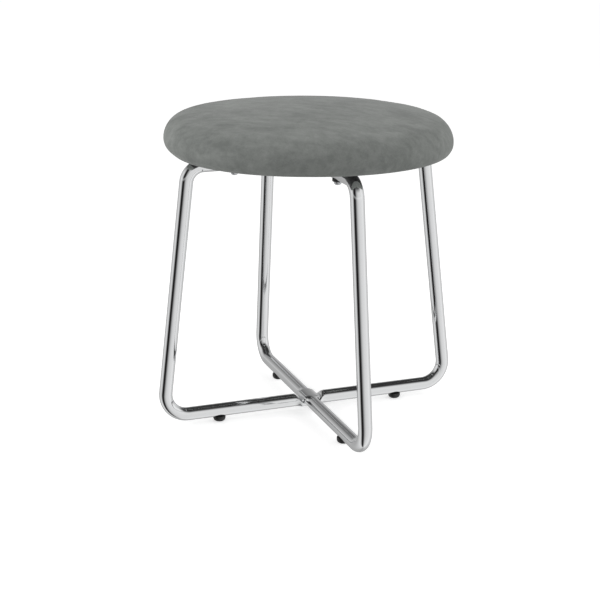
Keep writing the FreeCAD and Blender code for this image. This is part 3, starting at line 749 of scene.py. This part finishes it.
# %% Cut the board's place and finish the cushion
BOARD_RADIUS = 0.187
BOARD_BOTTOM = 0.3876
HEM_RADIUS = 0.157
CLEARANCE = 0.0001
CUT_BELOW = 0.004
CUTTER_STEPS = 96

add_modifier(cushion, "SUBSURF", levels=1, render_levels=1)
apply_modifiers(cushion)
cut_start = HEM_BOTTOM - CUT_BELOW
ledge = BOARD_BOTTOM - CLEARANCE
wall = BOARD_RADIUS + CLEARANCE
ceiling = BOARD_TOP + CLEARANCE
recess = [Vector((0, 0, cut_start)), Vector((HEM_RADIUS, 0, cut_start)),
          Vector((HEM_RADIUS, 0, ledge)), Vector((wall, 0, ledge)),
          Vector((wall, 0, ceiling)), Vector((0, 0, ceiling))]
cutter_mesh = spun(recess, CUTTER_STEPS)
cutter_data = bpy.data.meshes.new("recess")
cutter_mesh.to_mesh(cutter_data)
cutter_mesh.free()
cutter = bpy.data.objects.new("recess", cutter_data)
bpy.context.scene.collection.objects.link(cutter)
add_modifier(cushion, "BOOLEAN", object=cutter, operation="DIFFERENCE", solver="EXACT")
apply_modifiers(cushion)
bpy.data.objects.remove(cutter)
for polygon in cushion.data.polygons:
    polygon.use_smooth = True
cushion.data.materials.clear()
cushion.data.materials.append(VELVET)
print("cushion:", len(cushion.data.polygons), "faces")

# %% [markdown]
# ## Studio floor
# The floor and everything behind the stool is plain white. More light would clip the
# stool's own colours, so the floor glows by itself, and only for the camera and for what
# is seen in a mirror or through glass. The floor under the glow is still lit, so it keeps
# the stool's soft shadow.

# %% Floor
FLOOR_SIZE = 24.0
FLOOR_GLOW = 0.52
FLOOR_SHADE = grey(0.8)
WHITE = grey(1.0)


def floor_material():
    material, finish = new_material("studio_floor")
    seen = finish.node("ShaderNodeLightPath", output="Is Camera Ray")
    direct = seen + seen.other("Is Glossy Ray") + seen.other("Is Transmission Ray")
    glow = finish.node("ShaderNodeEmission", None,
                       {"Color": WHITE, "Strength": direct * FLOOR_GLOW})
    base = finish.node("ShaderNodeBsdfDiffuse", None, {"Color": FLOOR_SHADE})
    both = finish.node("ShaderNodeAddShader", None, {0: base, 1: glow})
    finish.node("ShaderNodeOutputMaterial", None, {"Surface": both})
    return material


floor_mesh = bmesh.new()
bmesh.ops.create_grid(floor_mesh, x_segments=1, y_segments=1, size=FLOOR_SIZE / 2)
floor_data = bpy.data.meshes.new("floor")
floor_mesh.to_mesh(floor_data)
floor_mesh.free()
floor = bpy.data.objects.new("floor", floor_data)
bpy.context.scene.collection.objects.link(floor)
floor_data.materials.append(floor_material())
floor.visible_glossy = False
floor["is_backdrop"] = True
print("floor:", FLOOR_SIZE, "m square")

# %% [markdown]
# ## The room that the chrome shows
# Chrome is only as good as what it mirrors. The room round the stool is a soft run of
# greys along the horizon, as stops from the back round the left to the front and on round
# the right: pale sides, a greyer back and one dark stand at the front left. Overhead it
# is dark, and a faint bright strip runs just above the horizon. All of it is fixed in the
# room, and only mirrors see it. The camera sees white, and what the room adds to the
# lamps' light is one plain grey.

# %% Room
ROOM_TURN = math.radians(24.65)
ROOM_STOPS = [(0.000, grey(0.36)), (0.110, grey(0.42)), (0.267, grey(0.76)),
              (0.315, grey(0.40)), (0.340, grey(0.02)), (0.405, grey(0.006)),
              (0.431, grey(0.10)), (0.478, grey(0.46)), (0.522, grey(0.63)),
              (0.570, grey(0.72)), (0.660, grey(0.78)), (0.735, grey(0.86)),
              (0.806, grey(0.66)), (1.000, grey(0.36))]
ROOM_LIGHT = grey(0.62)
CEILING = (0.45, 0.84)
CEILING_SHADE = grey(0.035)
BACK_DROP = 0.24
STRIP_HEIGHT = 0.13
STRIP_WIDTH = 0.11
STRIP_SHARE = 0.3


def light_room():
    world = bpy.data.worlds.new("studio")
    bpy.context.scene.world = world
    world.use_nodes = True
    finish = Finish(world.node_tree)
    way = finish.node("ShaderNodeTexCoord", output="Generated")
    x = finish.node("ShaderNodeSeparateXYZ", None, {0: way}, output="X")
    y, z = x.other("Y"), x.other("Z")
    front, side = math.cos(ROOM_TURN), math.sin(ROOM_TURN)
    towards = x * side - y * front
    right = x * front + y * side
    angle = finish.node("ShaderNodeMath", {"operation": "ARCTAN2"}, {0: right, 1: towards})
    horizon = finish.node("ShaderNodeValToRGB", {"stops": ROOM_STOPS},
                          {"Fac": angle / (2 * math.pi) + 0.5})
    behind = finish.node("ShaderNodeMath", {"operation": "MAXIMUM"}, {0: 0 - towards, 1: 0.0})
    overhead = finish.node("ShaderNodeMapRange", {"interpolation_type": "SMOOTHSTEP"},
                           {"Value": z + behind * BACK_DROP, "From Min": CEILING[0],
                            "From Max": CEILING[1]})
    above = finish.node("ShaderNodeMath", {"operation": "ABSOLUTE"}, {0: z - STRIP_HEIGHT})
    strip = finish.between(above, STRIP_WIDTH, 0.0)
    room = finish.mix(overhead, horizon, CEILING_SHADE)
    room = finish.mix(strip * STRIP_SHARE, room, WHITE)
    seen = finish.node("ShaderNodeLightPath", output="Is Camera Ray")
    plain = finish.mix(seen, ROOM_LIGHT, WHITE)
    color = finish.mix(seen.other("Is Glossy Ray"), plain, room)
    shader = finish.node("ShaderNodeBackground", None, {"Color": color, "Strength": 1.0})
    finish.node("ShaderNodeOutputWorld", None, {"Surface": shader})


light_room()
print("room: %d greys round the horizon" % len(ROOM_STOPS))

# %% [markdown]
# ## Lamps
# Two large soft lamps stand to the left and right of the stool and a weaker one hangs
# over it, so that the cushion's ends are lighter than its middle. Neither mirrors nor the
# camera see the lamps themselves: the room's greys stand for them.

# %% Lamps
AIM_HEIGHT = 0.35


def soft_lamp(name, turn, distance, height, width, power):
    data = bpy.data.lights.new(name, "AREA")
    data.shape = "SQUARE"
    data.size = width
    data.energy = power
    lamp = bpy.data.objects.new(name, data)
    angle = ROOM_TURN + math.radians(turn)
    lamp.location = (distance * math.sin(angle), -distance * math.cos(angle), height)
    aim = Vector((0, 0, AIM_HEIGHT)) - lamp.location
    lamp.rotation_euler = aim.to_track_quat("-Z", "Y").to_euler()
    lamp.visible_glossy = False
    lamp.visible_camera = False
    bpy.context.scene.collection.objects.link(lamp)
    print(name, power, "W")


soft_lamp("left_lamp", turn=-78, distance=1.8, height=1.1, width=1.2, power=15.0)
soft_lamp("right_lamp", turn=80, distance=1.9, height=1.0, width=1.2, power=11.0)
soft_lamp("top_lamp", turn=0, distance=0.3, height=2.2, width=1.4, power=4.0)

# %% [markdown]
# ## Camera
# The lens is a telephoto, so the legs stay nearly parallel. It stands above the seat and
# looks slightly down, which shows the top of the cushion and the crossing at once.

# %% Camera
FOCAL_PIXELS = 1367.594
IMAGE_WIDTH = 600
SENSOR_WIDTH = 36.0
CAMERA_PLACE = (0.7911, -1.7236, 0.7412)
LOOK_TURN = math.radians(25.043)
LOOK_DOWN = math.radians(16.830)

camera_data = bpy.data.cameras.new("camera")
camera_data.sensor_width = SENSOR_WIDTH
camera_data.lens = FOCAL_PIXELS / IMAGE_WIDTH * camera_data.sensor_width
camera = bpy.data.objects.new("camera", camera_data)
camera.location = CAMERA_PLACE
camera.rotation_euler = Euler((math.pi / 2 - LOOK_DOWN, 0, LOOK_TURN), "XYZ")
bpy.context.scene.collection.objects.link(camera)
bpy.context.scene.camera = camera
bpy.context.scene.view_settings.view_transform = "Standard"
print("lens: %.1f mm" % camera_data.lens)

# %% Work out the sizes and print them
boxes = {"cad": [list(corner) for corner in cad_box],
         "visual": [list(corner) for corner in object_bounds()]}
print("visual size in mm:", [round(1000 * (high - low), 1)
                             for low, high in zip(*boxes["visual"])])
